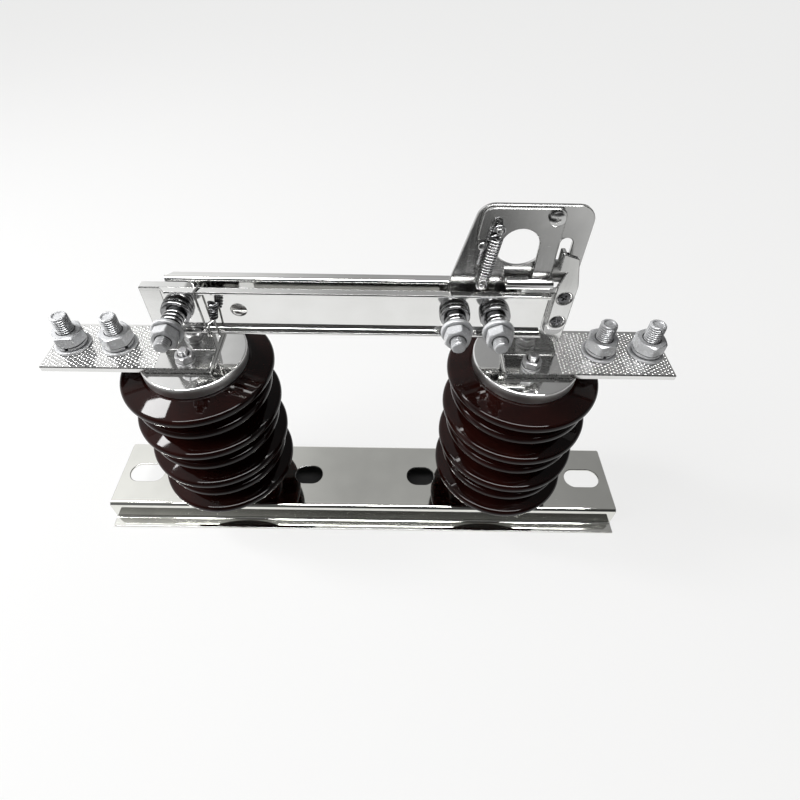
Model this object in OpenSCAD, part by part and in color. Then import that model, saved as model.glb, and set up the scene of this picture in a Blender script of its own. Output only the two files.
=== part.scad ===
// Single-pole outdoor disconnect switch: two porcelain posts on a hat-section base carry a hinge
// contact (left) and a jaw contact (right). A twin blade swings up about the hinge bolt, and a
// sprung lever on the blade's pull plate latches it. X runs along the base from the hinge to the
// jaw, Y goes to the rear, Z is up. The origin is under the middle of the base.

/* [Base channel] */
// Length of the base
base_l = 400; // [370:1:460]
// Width over the two upright flanges
base_w = 58.5; // [50:0.5:70]
// Height of the base
base_h = 21; // [20:0.5:30]
// Sheet thickness of the base
base_t = 2; // [1.5:0.1:3]
// Width of each foot lip outside its flange
lip_w = 8.3; // [6:0.1:14]
// Outside bend radius of the base sheet
base_bend_r = 3.5; // [3.2:0.1:5]
// Width of the fixing slots
slot_w = 16; // [11:0.5:18]
// Length of an end slot
end_slot_l = 28; // [22:0.5:32]
// Distance from a base end to the middle of its slot
end_slot_margin = 21; // [18:0.5:26]
// Length of an inner slot
inner_slot_l = 22; // [18:0.5:28]
// Distance between the middles of the inner slots
inner_slot_pitch = 92; // [60:1:110]

/* [Insulators] */
// Distance between the two insulator axes
post_pitch = 209; // [200:1:240]
// Number of sheds on each insulator
shed_count = 4; // [3:1:6]
// Height from one shed to the next
shed_pitch = 34; // [28:0.5:42]
// Outside radius of the sheds
shed_r = 48.2; // [44:0.1:60]
// Outside radius of the smaller sheds between them
small_shed_r = 44.3; // [41:0.1:52]
// Radius of the porcelain trunk between the sheds
trunk_r = 31; // [26:0.5:34]
// Half the thickness of a shed's rounded rim
rim_r = 3; // [2.5:0.1:4]
// Rise of a shed's upper slope from rim to trunk
shed_rise = 4.6; // [2:0.1:8]
// Height of the lowest rim's middle above the base
first_rim = 27; // [18:0.5:40]
// Height from the top rim's middle to the top of the porcelain
neck_h = 6.8; // [6:0.1:12]
// Radius of the metal caps
cap_r = 32.9; // [30:0.1:38]
// Thickness of the metal caps
cap_t = 8; // [7:0.1:14]

/* [Contacts] */
// Length of a terminal plate
plate_l = 102.5; // [95:0.5:130]
// Width of a terminal plate
plate_w = 39; // [36:0.5:50]
// Thickness of a terminal plate
plate_t = 4.2; // [3:0.1:8]
// Reach of a plate past its insulator axis, towards the middle
plate_inset = 16; // [13:0.5:20]
// Width of the upright contact fins
fin_w = 33; // [31:0.5:40]
// Thickness of the contact fins
fin_t = 6; // [5:0.1:8]
// Height of the contact fins above their plates
fin_h = 48.5; // [46:0.5:60]
// Radius of a fin's inner top corner
fin_corner_r = 8; // [2:0.5:14]

/* [Blades] */
// Height of the hinge axis above the terminal plates
hinge_h = 35; // [32:0.5:44]
// Distance of the hinge axis from the hinge insulator axis, towards the jaw
hinge_inset = 2.5; // [0:0.5:4]
// Height of a blade channel
blade_h = 31; // [26:0.5:34]
// Sheet thickness of the blades
blade_t = 2; // [1.5:0.1:3]
// Width of a blade's turned-out flanges, over the sheet
flange_w = 6; // [5:0.1:9]
// Reach of the blades behind the hinge axis
blade_tail = 6.5; // [6:0.5:12]
// Reach of the blades past the jaw insulator axis
blade_nose = 2; // [0:0.5:3]
// Clearance between each blade and a contact fin
contact_gap = 0.3; // [0.2:0.05:0.5]
// Diameter of the spare hole through the blades
spare_hole_d = 9; // [6:0.5:12]
// Distance of the spare hole from the hinge axis
spare_hole_x = 34.5; // [28:0.5:60]

/* [Cross bolts] */
// Diameter of the hinge and clamp bolts
bolt_d = 8; // [6:0.5:8]
// Distance from the blade's nose to the first clamp bolt
clamp_margin = 28.5; // [27:0.5:34]
// Distance between the two clamp bolts
clamp_pitch = 22.7; // [21:0.1:30]
// Outside diameter of the clamp springs
spring_d = 12.6; // [12.4:0.1:16]
// Wire diameter of the clamp springs
spring_wire_d = 2; // [1.6:0.1:2.1]
// Working length of the two clamp springs
clamp_spring_l = 9.8; // [7:0.1:14]
// Working length of the hinge spring
hinge_spring_l = 12.8; // [7:0.1:16]
// Free bolt end beyond its nut
bolt_end = 5.5; // [2:0.1:10]

/* [Terminals] */
// Diameter of the terminal studs
stud_d = 10; // [8:0.5:12]
// Distance from a plate's outer end to its first stud
stud_margin = 13; // [11:0.5:16]
// Distance between the two studs of a plate
stud_pitch = 29; // [26:0.5:34]
// Free stud end above its nut
stud_end = 11.5; // [6:0.5:20]

/* [Pull plate and latch] */
// Height of the pull plate above the blades
pull_h = 49.5; // [48:0.5:60]
// Width of the pull plate along its top
pull_top_w = 57.7; // [54:0.1:66]
// Width of the pull plate where it leaves the blades
pull_foot_w = 70; // [62:0.1:74]
// Reach of the pull plate past the blade's nose
pull_reach = 14; // [12:0.5:17]
// Thickness of the pull plate
pull_t = 2.5; // [2:0.1:2.8]
// Corner radius of the pull plate
pull_corner_r = 9; // [4:0.5:12]
// Radius of the hookstick eye
eye_r = 13.6; // [12:0.1:14]
// Height of the eye's middle above the blades
eye_h = 26.8; // [26:0.1:30]
// Distance of the eye's middle from the pull plate's outer edge
eye_margin = 34.3; // [33:0.1:36]
// Thickness of the latch lever
lever_t = 2.1; // [1.6:0.1:2.3]
// Distance of the lever pivot from the pull plate's outer edge
pivot_margin = 20.4; // [19:0.1:22]
// Drop of the lever pivot below the pull plate's top
pivot_drop = 5.2; // [5:0.1:9]
// Diameter of the lever pivot screw
pivot_d = 4; // [3:0.1:6]
// Radius of the lever's arch over the eye
arch_r = 9.8; // [9:0.1:11]
// Width of the lever's leg
leg_w = 10.2; // [8:0.1:11]
// Outside diameter of the latch tube
tube_d = 6.4; // [5:0.1:6.6]
// Length of the latch tube
tube_l = 25; // [18:0.5:28]
// Outside diameter of the latch spring
pull_spring_d = 6.6; // [5:0.1:7]
// Wire diameter of the latch spring
pull_wire_d = 1.2; // [0.8:0.1:1.3]
// Turns of the latch spring
pull_spring_turns = 13; // [8:1:16]

/* [Catch strap] */
// Width of the catch strap
strap_w = 11; // [10:0.1:12.4]
// Thickness of the catch strap
strap_t = 2.5; // [2:0.1:3]
// Height of the strap above the fin's top
strap_rise = 29; // [26:0.5:32]
// Depth of the strap below the fin's top
strap_drop = 23.5; // [20:0.5:27]
// Running gap between the blade's nose and the strap
strap_gap = 2; // [1.5:0.1:3]

/* [Hidden] */
$fn = 48;

left = -1;
right = 1;
ends = [left, right];
// Small clearances: a bolt in its hole, and a pin that turns in its bore
hole_gap = 0.25;
run_gap = 0.08;
cut = 1;

// Standard hardware: across flats, nut and head heights, washers
cross_flats = 1.63 * bolt_d;
nut_t = 0.8 * bolt_d;
head_t = 0.66 * bolt_d;
washer_t = 2;
washer_r = 1.1 * bolt_d;
stud_flats = 1.7 * stud_d;
stud_nut_t = 0.8 * stud_d;
stud_head_t = 0.64 * stud_d;
stud_washer_r = 1.05 * stud_d;
lock_washer_t = 2.5;
lock_washer_r = 0.88 * stud_d;
cap_stud_d = 6;
cap_stud_y = 12.8;
cap_stud_depth = 6;
cap_flats = 10;
cap_nut_t = 5;
cap_washer_t = 1.6;
cap_washer_r = 6;
cap_stud_end = 3;
post_bolt_d = 12;
post_flats = 19;
post_head_t = 7.5;
post_washer_r = 14;
post_bolt_depth = 22;
post_tip_gap = 2;
// How far a rolled thread stands out over its shank
thread_h = 0.35;

// Porcelain details: rise of a shed's underside, its fillets and rim edges, the foot, the cap's seat
skirt_rise = 2;
shed_fillet_r = 2.4;
rim_edge_r = 0.94 * rim_r;
foot_edge_r = 1;
cap_seat_w = 1.5;

// Heights
porcelain_h = first_rim + (shed_count - 1) * shed_pitch + neck_h;
cap_z = base_h + porcelain_h;
plate_z = cap_z + cap_t;
plate_top = plate_z + plate_t;
fin_top = plate_top + fin_h;
hinge_z = plate_top + hinge_h;
blade_top = hinge_z + blade_h / 2;
blade_low = hinge_z - blade_h / 2;
// The latch is set from the higher of the blades and the fin, so it always passes over the fin
fin_pass = 1;
latch_z = max(blade_top, fin_top + fin_pass);

// Places along X
post_x = post_pitch / 2;
plate_in = post_x - plate_inset;
plate_out = plate_in + plate_l;
fin_out = plate_in + fin_w;
stud_xs = [plate_out - stud_margin, plate_out - stud_margin - stud_pitch];
hinge_x = -post_x + hinge_inset;
blade_x0 = hinge_x - blade_tail;
blade_x1 = post_x + blade_nose;
clamp_xs = [blade_x1 - clamp_margin, blade_x1 - clamp_margin - clamp_pitch];
strap_x0 = blade_x1 + strap_gap;
strap_x1 = strap_x0 + strap_w;

// Layers along Y: the blade webs, the pull plate against the rear web, then the lever
web_in = fin_t / 2 + contact_gap;
web_out = web_in + blade_t;
flange_out = web_in + flange_w;
blade_bend_r = blade_t + 0.6;
pull_y0 = web_in - pull_t;
lever_gap = 0.5;
lever_y1 = pull_y0 - lever_gap;
lever_y0 = lever_y1 - lever_t;
strap_y1 = -web_out;
strap_y0 = strap_y1 - strap_t;

// Front stack on a cross bolt
cup_t = 4.7;
seat_y = -web_out - cup_t;
collar_t = 2.6;
head_y = web_out + washer_t;

// Pull plate, eye and lever places in X and Z
pull_x1 = blade_x1 + pull_reach;
pull_x0 = pull_x1 - pull_top_w;
pull_foot_x = pull_x1 - pull_foot_w;
pull_top = latch_z + pull_h;
pull_tail_x1 = blade_x1 - clamp_margin + 7;
pull_tail_clear = 2;
eye = [pull_x1 - eye_margin, latch_z + eye_h];
pivot = [pull_x1 - pivot_margin, pull_top - pivot_drop];
leg_x0 = pivot[0] - leg_w / 2;
leg_x1 = pivot[0] + leg_w / 2;
lever_top = pull_top - 0.4;
ear_x = pull_x0 - 0.4;
ear_low = eye[1] + 3.4;
arch = [leg_x0 - arch_r, lever_top - 11.7 - arch_r];
tube_gap = 2.5;
tube_z = latch_z + tube_gap + tube_d / 2;
tube_x1 = strap_x0 - 2.5;
tube_wall = 1;
tube_seat = 0.3;
tube_y = lever_y0 - tube_d / 2 + tube_seat;
leg_low = tube_z - 2.6;
post = [pull_x0 + 9.4, lever_top - 10.2];
anchor = [pull_x0 + 5, latch_z + 5];
spring_pin_r = 1.7;
spring_y_mid = lever_y0 - pull_spring_d / 2 - 0.4;
eye_ring_r = spring_pin_r + 0.3 + pull_wire_d / 2;
spring_pin_end = spring_y_mid - pull_wire_d / 2 - 1;
stop_r = 2.3;
stop_gap = 0.3;
stop_pin = [ear_x + 3.2, ear_low - stop_r - stop_gap];
catch_slot_x = [strap_x0 - 2.2, strap_x0 + 4.3];
catch_slot_drop = [33, 18.6];
catch_slot_z = [for (d = catch_slot_drop) pull_top - d];
strap_top = fin_top + strap_rise;
strap_low = fin_top - strap_drop;
strap_screw_d = 5;
strap_screw_x = strap_x0 + strap_w / 2;
strap_screw_pitch = 17;
strap_screw_zs = [fin_top - strap_screw_pitch, fin_top];
strap_head_r = 0.85 * strap_screw_d;
spacer_low = strap_low - 6;
spacer_top = strap_screw_zs[1] + strap_screw_d;

// Points and outlines
function unit(v) = v / norm(v);
function corner(p, q, s, r, n) =
    let (u = unit(p - q), v = unit(s - q), half = acos(u * v) / 2,
         c = q + unit(u + v) * r / sin(half),
         from = q + u * r / tan(half) - c, to = q + v * r / tan(half) - c,
         a = atan2(from[1], from[0]),
         turn = (atan2(to[1], to[0]) - a + 900) % 360 - 180)
    [for (i = [0:n]) c + r * [cos(a + turn * i / n), sin(a + turn * i / n)]];
// An outline from [x, y, radius] corners, each rounded to its radius
function rounded(list, n = 6) = [for (i = [0:len(list) - 1])
    let (p = list[(i + len(list) - 1) % len(list)], q = list[i], s = list[(i + 1) % len(list)])
    each q[2] == 0 ? [[q[0], q[1]]]
        : corner([p[0], p[1]], [q[0], q[1]], [s[0], s[1]], q[2], n)];
function arc(c, r, from, to, n) = [for (i = [0:n])
    let (a = from + (to - from) * i / n) c + r * [cos(a), sin(a)]];

// A wire of round section along a path, its rings carried from point to point without twist
function tangents(path) = [for (i = [0:len(path) - 1])
    unit(path[min(i + 1, len(path) - 1)] - path[max(i - 1, 0)])];
function square_to(v, t) = unit(v - (v * t) * t);
function normals(t, i, last) = i == len(t) ? []
    : let (n = square_to(last, t[i])) concat([n], normals(t, i + 1, n));
module wire(path, r, sides) {
    along = tangents(path);
    across = normals(along, 0, [0.31, 0.42, 0.85]);
    points = [for (i = [0:len(path) - 1]) for (j = [0:sides - 1]) let (b = 360 * j / sides)
        path[i] + r * (cos(b) * across[i] + sin(b) * cross(along[i], across[i]))];
    walls = [for (i = [0:len(path) - 2]) for (j = [0:sides - 1]) let (k = (j + 1) % sides)
        let (a = i * sides, b = a + sides) each [[a + j, b + j, b + k], [a + j, b + k, a + k]]];
    start = [for (j = [0:sides - 1]) j];
    end = [for (j = [sides - 1:-1:0]) (len(path) - 1) * sides + j];
    polyhedron(points, concat([start], walls, [end]));
}
function helix(r, turns, z0, z1, steps) = [for (i = [0:round(turns * steps)])
    let (t = i / round(turns * steps), a = 180 + 360 * turns * t)
    [r * cos(a), r * sin(a), z0 + (z1 - z0) * t]];

module rod_y(r, y0, y1) {
    translate([0, y1, 0]) rotate([90, 0, 0]) cylinder(r = r, h = y1 - y0);
}

// A hexagon of a nut or a head, its corners turned down at both ends
module hex_z(flats, h) {
    corner_r = flats / 2 / cos(30);
    face_r = 0.475 * flats;
    turned_r = corner_r + cut;
    drop = (turned_r - face_r) * tan(30);
    intersection() {
        cylinder(r = corner_r, h = h, $fn = 6);
        rotate_extrude() polygon([[0, 0], [face_r, 0], [turned_r, drop],
            [turned_r, h - drop], [face_r, h], [0, h]]);
    }
}

module hex_y(flats, y0, y1) {
    translate([0, y1, 0]) rotate([90, 30, 0]) hex_z(flats, y1 - y0);
}

module ring_y(r, hole_r, y0, y1) {
    difference() {
        rod_y(r, y0, y1);
        rod_y(hole_r, y0 - cut, y1 + cut);
    }
}

module ring_z(r, hole_r, h) {
    difference() {
        cylinder(r = r, h = h);
        translate([0, 0, -cut]) cylinder(r = hole_r, h = h + 2 * cut);
    }
}

// An outline in X and Z, given thickness from y0 to y1
module plate_xz(outline, y0, y1) {
    translate([0, y1, 0]) rotate([90, 0, 0]) linear_extrude(height = y1 - y0) polygon(outline);
}

// A slot along X with round ends
module slot_z(length, width, z0, z1) {
    run = length - width;
    translate([0, 0, z0]) {
        for (s = ends) translate([s * run / 2, 0, 0]) cylinder(r = width / 2, h = z1 - z0);
        translate([-run / 2, -width / 2, 0]) cube([run, width, z1 - z0]);
    }
}

// Base

module base_profile() {
    side = base_w / 2;
    fold_r = base_bend_r - base_t;
    half = [
        [side, base_h, base_bend_r], [side, base_t, fold_r], [side + lip_w, base_t, 0],
        [side + lip_w, 0, 0], [side - base_t, 0, base_bend_r], [side - base_t, base_h - base_t, fold_r]];
    mirrored = [for (i = [len(half) - 1:-1:0]) [-half[i][0], half[i][1], half[i][2]]];
    polygon(rounded(concat(half, mirrored)));
}

module base_channel() {
    color("silver") difference() {
        rotate([90, 0, 90]) linear_extrude(height = base_l, center = true) base_profile();
        for (s = ends) {
            translate([s * (base_l / 2 - end_slot_margin), 0, 0])
                slot_z(end_slot_l, slot_w, base_h - base_t - cut, base_h + cut);
            translate([s * inner_slot_pitch / 2, 0, 0])
                slot_z(inner_slot_l, slot_w, base_h - base_t - cut, base_h + cut);
            translate([s * post_x, 0, base_h - base_t - cut])
                cylinder(r = post_bolt_d / 2 + hole_gap, h = base_t + 2 * cut);
        }
    }
}

// Insulators

// Corners of a shed whose rim's middle is at z: out along its underside, round the rim, up the slope
function shed(r, z) = [
    [trunk_r, z - rim_r + skirt_rise, shed_fillet_r], [r, z - rim_r, rim_edge_r],
    [r, z + rim_r, rim_edge_r], [trunk_r, z + rim_r + shed_rise, shed_fillet_r]];

// Large sheds with a smaller one halfway between each two, and a flat seat for the cap on top
module insulator() {
    rims = [for (i = [0:shed_count - 1]) first_rim + i * shed_pitch];
    top_shed = shed(shed_r, rims[shed_count - 1]);
    corners = concat([[0, 0, 0], [trunk_r, 0, foot_edge_r]],
        [for (i = [0:shed_count - 2])
            each concat(shed(shed_r, rims[i]), shed(small_shed_r, rims[i] + shed_pitch / 2))],
        [for (i = [0:2]) top_shed[i]],
        [[cap_r + cap_seat_w, porcelain_h, foot_edge_r], [0, porcelain_h, 0]]);
    color([0.2, 0.09, 0.08]) difference() {
        rotate_extrude($fn = 96) polygon(rounded(corners, 5));
        translate([0, 0, -cut])
            cylinder(r = post_bolt_d / 2 + run_gap, h = post_bolt_depth + cut);
    }
}

module insulator_left() { translate([-post_x, 0, base_h]) insulator(); }
module insulator_right() { translate([post_x, 0, base_h]) insulator(); }

module cap() {
    edge = 0.8;
    color("gainsboro") difference() {
        rotate_extrude($fn = 96) polygon([[0, 0], [cap_r - edge / 2, 0], [cap_r, edge / 2],
            [cap_r, cap_t - edge], [cap_r - edge, cap_t], [0, cap_t]]);
        for (s = ends) translate([0, s * cap_stud_y, cap_t - cap_stud_depth])
            cylinder(r = cap_stud_d / 2 + run_gap, h = cap_stud_depth + cut);
    }
}

module cap_left() { translate([-post_x, 0, cap_z]) cap(); }
module cap_right() { translate([post_x, 0, cap_z]) cap(); }

// Screw that holds an insulator to the base from below
module post_bolt() {
    color("lightgray") {
        translate([0, 0, -washer_t - post_head_t]) hex_z(post_flats, post_head_t);
        translate([0, 0, -washer_t]) cylinder(r = post_washer_r, h = washer_t);
        cylinder(r = post_bolt_d / 2, h = base_t + post_bolt_depth - post_tip_gap);
    }
}

module post_bolt_left() { translate([-post_x, 0, base_h - base_t]) post_bolt(); }
module post_bolt_right() { translate([post_x, 0, base_h - base_t]) post_bolt(); }

// Contacts

// Terminal plate with its upright fin, drawn for the right side
module contact() {
    difference() {
        union() {
            translate([plate_in, -plate_w / 2, plate_z]) cube([plate_l, plate_w, plate_t]);
            plate_xz(rounded([[plate_in, plate_z, 0], [fin_out, plate_z, 0], [fin_out, fin_top, 1],
                [plate_in, fin_top, fin_corner_r]]), -fin_t / 2, fin_t / 2);
        }
        for (x = stud_xs) translate([x, 0, plate_z - cut])
            cylinder(r = stud_d / 2 + hole_gap, h = plate_t + 2 * cut);
        for (s = ends) translate([post_x, s * cap_stud_y, plate_z - cut])
            cylinder(r = cap_stud_d / 2 + hole_gap, h = plate_t + 2 * cut);
    }
}

module hinge_contact() {
    color("lightgray") difference() {
        mirror([1, 0, 0]) contact();
        translate([hinge_x, 0, hinge_z]) rod_y(bolt_d / 2 + run_gap, -fin_t, fin_t);
    }
}

module jaw_contact() {
    color("lightgray") difference() {
        contact();
        translate([strap_screw_x, 0, strap_screw_zs[0]])
            rod_y(strap_screw_d / 2 + run_gap, -fin_t, fin_t);
    }
}

module cap_studs(x) {
    color("lightgray") for (s = ends)
        translate([x, s * cap_stud_y, plate_z - cap_stud_depth + hole_gap])
            cylinder(r = cap_stud_d / 2, h = cap_stud_depth - hole_gap + plate_t
                + cap_washer_t + cap_nut_t + cap_stud_end);
}

module cap_nuts(x) {
    hole_r = cap_stud_d / 2 + run_gap;
    color("silver") for (s = ends) translate([x, s * cap_stud_y, plate_top]) {
        ring_z(cap_washer_r, hole_r, cap_washer_t);
        translate([0, 0, cap_washer_t]) difference() {
            hex_z(cap_flats, cap_nut_t);
            translate([0, 0, -cut]) cylinder(r = hole_r, h = cap_nut_t + 2 * cut);
        }
    }
}

module cap_studs_left() { cap_studs(-post_x); }
module cap_studs_right() { cap_studs(post_x); }
module cap_nuts_left() { cap_nuts(-post_x); }
module cap_nuts_right() { cap_nuts(post_x); }

// Terminal studs with their heads under the plate. The free thread is rolled up from the slimmer shank.
module terminal_studs(side) {
    grip = plate_t + washer_t + lock_washer_t + stud_nut_t;
    color("lightgray") for (x = stud_xs) translate([side * x, 0, plate_z]) {
        translate([0, 0, -stud_head_t]) hex_z(stud_flats, stud_head_t);
        cylinder(r = stud_d / 2 - thread_h, h = grip);
        translate([0, 0, grip]) cylinder(r = stud_d / 2, h = stud_end);
    }
}

module terminal_washers(side) {
    hole_r = stud_d / 2 + run_gap;
    color("lightgray") for (x = stud_xs) translate([side * x, 0, plate_top]) {
        ring_z(stud_washer_r, hole_r, washer_t);
        translate([0, 0, washer_t]) ring_z(lock_washer_r, hole_r, lock_washer_t);
    }
}

module terminal_nuts(side) {
    color("lightgray") for (x = stud_xs)
        translate([side * x, 0, plate_top + washer_t + lock_washer_t]) difference() {
            hex_z(stud_flats, stud_nut_t);
            translate([0, 0, -cut]) cylinder(r = stud_d / 2 + run_gap, h = stud_nut_t + 2 * cut);
        }
}

module terminal_studs_left() { terminal_studs(left); }
module terminal_studs_right() { terminal_studs(right); }
module terminal_washers_left() { terminal_washers(left); }
module terminal_washers_right() { terminal_washers(right); }
module terminal_nuts_left() { terminal_nuts(left); }
module terminal_nuts_right() { terminal_nuts(right); }

// Catch on the jaw fin

// Block brazed to the fin, a little taller, so that the upper screw ends in it
module catch_spacer() {
    end_r = strap_w / 2 - 1;
    color("gainsboro") difference() {
        plate_xz(rounded([[strap_x0, spacer_low, end_r], [strap_x1, spacer_low, end_r],
            [strap_x1, spacer_top, 1], [strap_x0, spacer_top, 1]]), strap_y1, -fin_t / 2);
        for (z = strap_screw_zs) translate([strap_screw_x, 0, z])
            rod_y(strap_screw_d / 2 + run_gap, strap_y1 - cut, 0);
    }
}

// Flat strap, narrower at the top, with a slanted notch for the latch tube and a tab folded back above it
module catch_strap() {
    end_r = strap_w / 2 - 1;
    top_w = strap_w - 4;
    shoulder = 3;
    notch_w = 2.5;
    notch_h = 9;
    notch_low = tube_z + 0.8;
    notch_top = notch_low + notch_h;
    tab_reach = 1.7;
    tab_x0 = strap_x0 - tab_reach;
    tab_low = notch_top + 1.4;
    color("gainsboro") difference() {
        union() {
            plate_xz(rounded([[strap_x0, strap_low, end_r], [strap_x1, strap_low, end_r],
                [strap_x1, notch_low, 8], [strap_x0 + top_w, strap_top - shoulder, 1.5],
                [tab_x0, strap_top, 0], [tab_x0, notch_top, 0], [strap_x0 + notch_w, notch_top, 0],
                [strap_x0, notch_low, 0]]), strap_y0, strap_y1);
            translate([tab_x0, strap_y0, tab_low])
                cube([strap_t, pull_y0 - 1 - strap_y0, strap_top - 1 - tab_low]);
        }
        for (z = strap_screw_zs) translate([strap_screw_x, 0, z]) {
            rod_y(strap_screw_d / 2 + run_gap, strap_y0 - cut, strap_y1 + cut);
            countersink(strap_head_r + run_gap, strap_y0);
        }
    }
}

// A countersunk head of radius r whose flat is at y, opening to the front
module countersink(r, y) {
    translate([0, y + r, 0]) rotate([90, 0, 0]) cylinder(r1 = 0, r2 = r + cut, h = r + cut);
}

// The lower screw goes through the fin, the upper one ends in the spacer
module catch_screws() {
    tips = [fin_t / 2, -fin_t / 2 - run_gap];
    color("silver") for (i = [0, 1]) translate([strap_screw_x, 0, strap_screw_zs[i]]) {
        rod_y(strap_screw_d / 2, strap_y0 + hole_gap, tips[i]);
        intersection() {
            countersink(strap_head_r, strap_y0);
            rod_y(strap_head_r, strap_y0 + hole_gap, tips[i]);
        }
    }
}

// Blades

// The front blade: a channel with flanges turned out, which are cut at 45 degrees at the hinge end
module blade() {
    fold_r = blade_bend_r - blade_t;
    profile = [
        [-web_in, blade_top, blade_bend_r], [-flange_out, blade_top, 0],
        [-flange_out, blade_top - blade_t, 0], [-web_out, blade_top - blade_t, fold_r],
        [-web_out, blade_low + blade_t, fold_r], [-flange_out, blade_low + blade_t, 0],
        [-flange_out, blade_low, 0], [-web_in, blade_low, blade_bend_r]];
    slant = flange_w - blade_t;
    difference() {
        translate([blade_x0, 0, 0]) rotate([90, 0, 90])
            linear_extrude(height = blade_x1 - blade_x0) polygon(rounded(profile));
        translate([blade_x0, 0, blade_low - cut]) linear_extrude(height = blade_h + 2 * cut)
            polygon([[-slant, -flange_out - 0.01], [0, -web_out - 0.01], [slant, -flange_out - 0.01]]);
        translate([hinge_x, 0, hinge_z]) rod_y(bolt_d / 2 + hole_gap, -flange_out, 0);
        for (x = clamp_xs) translate([x, 0, hinge_z]) rod_y(bolt_d / 2 + hole_gap, -flange_out, 0);
        translate([hinge_x + spare_hole_x, 0, hinge_z]) rod_y(spare_hole_d / 2, -flange_out, 0);
    }
}

module front_blade() { color("whitesmoke") blade(); }
module rear_blade() { color("whitesmoke") mirror([0, 1, 0]) blade(); }

// Cross bolts, drawn on the Y axis for a spring of length l: head at the rear, the rest in front

function spring_end(l) = seat_y - l;
function collar_end(l) = spring_end(l) - collar_t;
function nut_end(l) = collar_end(l) - nut_t;

module cross_bolt(l) {
    rod_y(bolt_d / 2, nut_end(l) - bolt_end, head_y + head_t / 2);
    hex_y(cross_flats, head_y, head_y + head_t);
}

// A thick cup against the front blade and a flat washer behind the rear one
module cross_washers() {
    hole_r = bolt_d / 2 + run_gap;
    ring_y(washer_r, hole_r, seat_y, -web_out);
    ring_y(washer_r, hole_r, web_out, head_y);
}

// A clamp spring with its end turns ground flat against the cup and the collar
module cross_spring(l) {
    wire_r = spring_wire_d / 2;
    pitch = 1.5 * spring_wire_d;
    turns = (l - wire_r) / pitch;
    intersection() {
        rod_y(spring_d, spring_end(l), seat_y);
        rotate([90, 0, 0]) wire(helix(spring_d / 2 - wire_r, turns, -seat_y + wire_r / 2,
            -spring_end(l) - wire_r / 2, 14), wire_r, 8);
    }
}

// A thick washer between the spring and the nut
module cross_collar(l) {
    ring_y(washer_r, bolt_d / 2 + run_gap, collar_end(l), spring_end(l));
}

module cross_nut(l) {
    difference() {
        hex_y(cross_flats, nut_end(l), collar_end(l));
        rod_y(bolt_d / 2 + run_gap, nut_end(l) - cut, collar_end(l) + cut);
    }
}

module at_hinge() { translate([hinge_x, 0, hinge_z]) children(); }
module at_clamps() { for (x = clamp_xs) translate([x, 0, hinge_z]) children(); }

module hinge_bolt() { color("lightgray") at_hinge() cross_bolt(hinge_spring_l); }
module hinge_washers() { color("silver") at_hinge() cross_washers(); }
module hinge_spring() { color("dimgray") at_hinge() cross_spring(hinge_spring_l); }
module hinge_collar() { color("silver") at_hinge() cross_collar(hinge_spring_l); }
module hinge_nut() { color("lightgray") at_hinge() cross_nut(hinge_spring_l); }
module clamp_bolts() { color("lightgray") at_clamps() cross_bolt(clamp_spring_l); }
module clamp_washers() { color("silver") at_clamps() cross_washers(); }
module clamp_springs() { color("dimgray") at_clamps() cross_spring(clamp_spring_l); }
module clamp_collars() { color("silver") at_clamps() cross_collar(clamp_spring_l); }
module clamp_nuts() { color("lightgray") at_clamps() cross_nut(clamp_spring_l); }

// Rings that keep the front blade off the pull plate
module blade_spacers() {
    color("silver") at_clamps() ring_y(washer_r - 1.5, bolt_d / 2 + run_gap, -web_in, pull_y0);
}

// Pull plate and latch

module pull_plate() {
    tail_low = blade_low + pull_tail_clear;
    slot_r = (catch_slot_x[1] - catch_slot_x[0]) / 2;
    color("lightgray") difference() {
        plate_xz(rounded([
            [pull_foot_x, tail_low, 3], [pull_tail_x1, tail_low, 3],
            [pull_tail_x1, latch_z + tube_gap, 3], [pull_x1, latch_z + tube_gap, 4],
            [pull_x1, pull_top, pull_corner_r], [pull_x0, pull_top, pull_corner_r],
            [pull_foot_x, blade_top, 0]]), pull_y0, web_in);
        translate([eye[0], 0, eye[1]]) rod_y(eye_r, -web_in, web_in + cut);
        translate([pivot[0], 0, pivot[1]]) rod_y(pivot_d / 2 + run_gap, -web_in, web_in + cut);
        for (p = [anchor, stop_pin]) translate([p[0], 0, p[1]])
            rod_y((p == anchor ? spring_pin_r : stop_r) + run_gap, -web_in, web_in + cut);
        at_clamps() rod_y(bolt_d / 2 + hole_gap, -web_in, web_in + cut);
        translate([catch_slot_x[0] + slot_r, 0, catch_slot_z[1] - slot_r])
            rod_y(slot_r, -web_in, web_in + cut);
        translate([catch_slot_x[0], -web_in, catch_slot_z[0]])
            cube([2 * slot_r, 3 * web_in, catch_slot_z[1] - slot_r - catch_slot_z[0]]);
    }
}

// Lever over the pull plate: an ear on the left, an arch over the eye and a leg down to the tube
module latch_lever() {
    outline = concat(
        rounded([[leg_x0, leg_low, 0], [leg_x1, leg_low, 0], [leg_x1, lever_top, 4.5],
            [ear_x + 1.8, lever_top, 6], [ear_x, ear_low, 2.5], [arch[0] - arch_r - 1, ear_low, 0]]),
        arc(arch, arch_r, 165, 0, 16));
    color("silver") difference() {
        plate_xz(outline, lever_y0, lever_y1);
        translate([pivot[0], 0, pivot[1]]) rod_y(pivot_d / 2 + run_gap, lever_y0 - cut, lever_y1 + cut);
        translate([post[0], 0, post[1]]) rod_y(spring_pin_r + run_gap, lever_y0 - cut, lever_y1 + cut);
    }
}

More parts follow.
